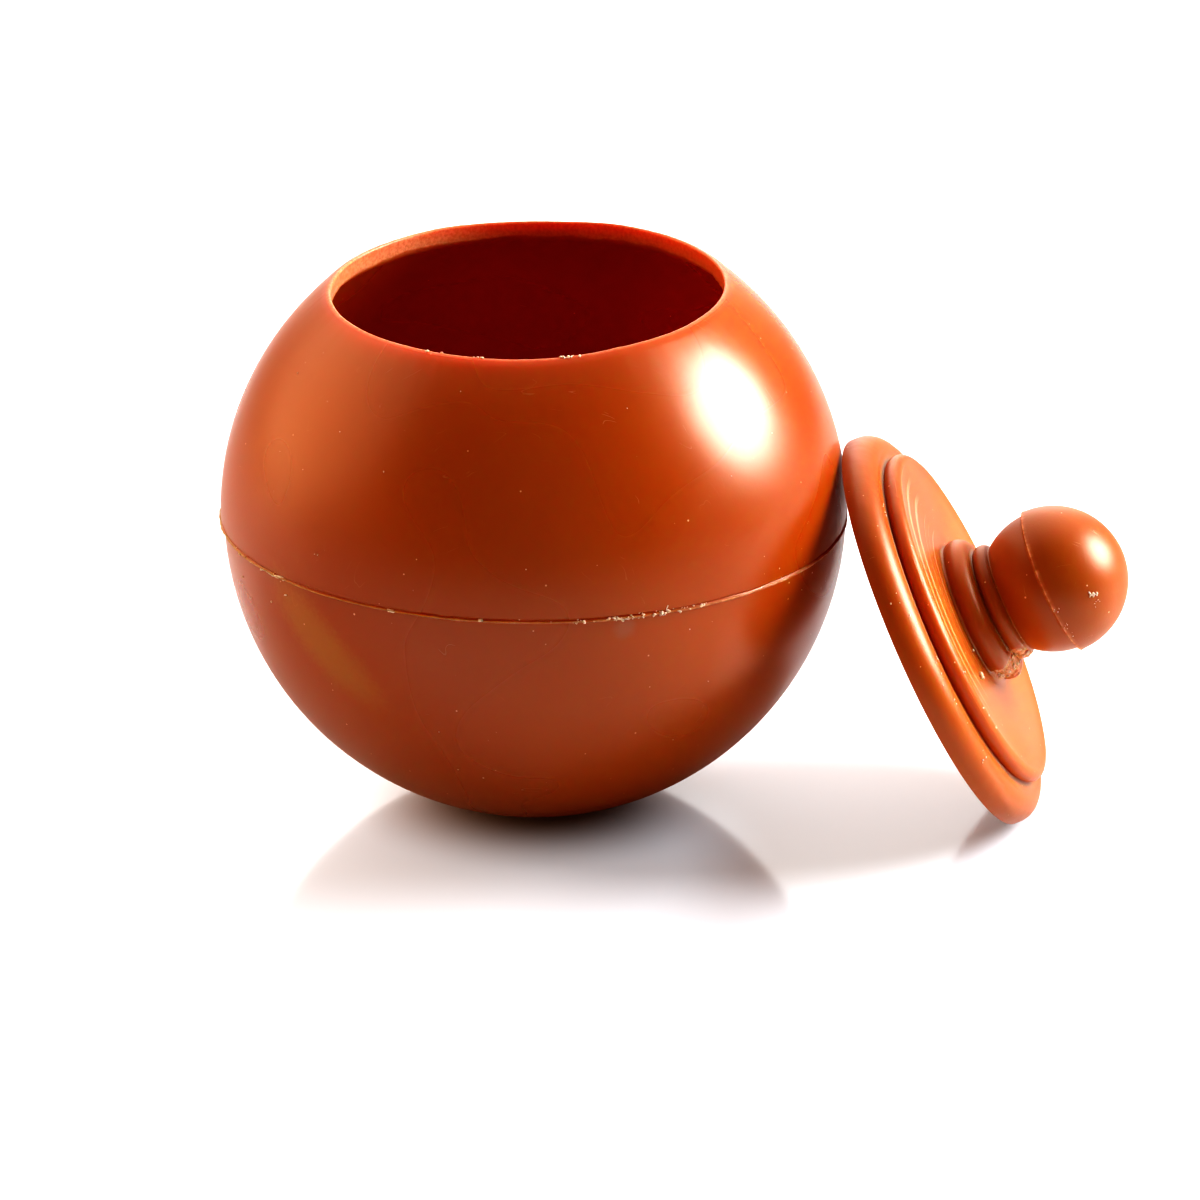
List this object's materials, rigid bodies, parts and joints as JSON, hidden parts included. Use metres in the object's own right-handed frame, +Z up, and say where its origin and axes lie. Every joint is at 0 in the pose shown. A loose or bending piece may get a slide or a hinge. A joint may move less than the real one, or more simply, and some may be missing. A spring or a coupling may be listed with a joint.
{
  "type": "chocolate honey pot",
  "caption": "Hollow ball-shaped pot of moulded chocolate with a wide round mouth, and its stepped lid with a ball knob leaning against its side.",
  "frame": {"origin": "centre of the small flat spot that the ball rests on, on the surface that it stands on", "axes": "+Z up through the ball's middle; +X to the side where the lid leans; -Y towards the viewer of the picture"},
  "size_m": [0.1749, 0.1218, 0.1063],
  "materials": {
    "moulded_chocolate": "satin, with fine specks and scratches",
    "lid_chocolate": "satin, with fine specks and scratches"
  },
  "bodies": {
    "root": {"pot": "moulded_chocolate", "lid": "lid_chocolate"}
  },
  "joints": []
}
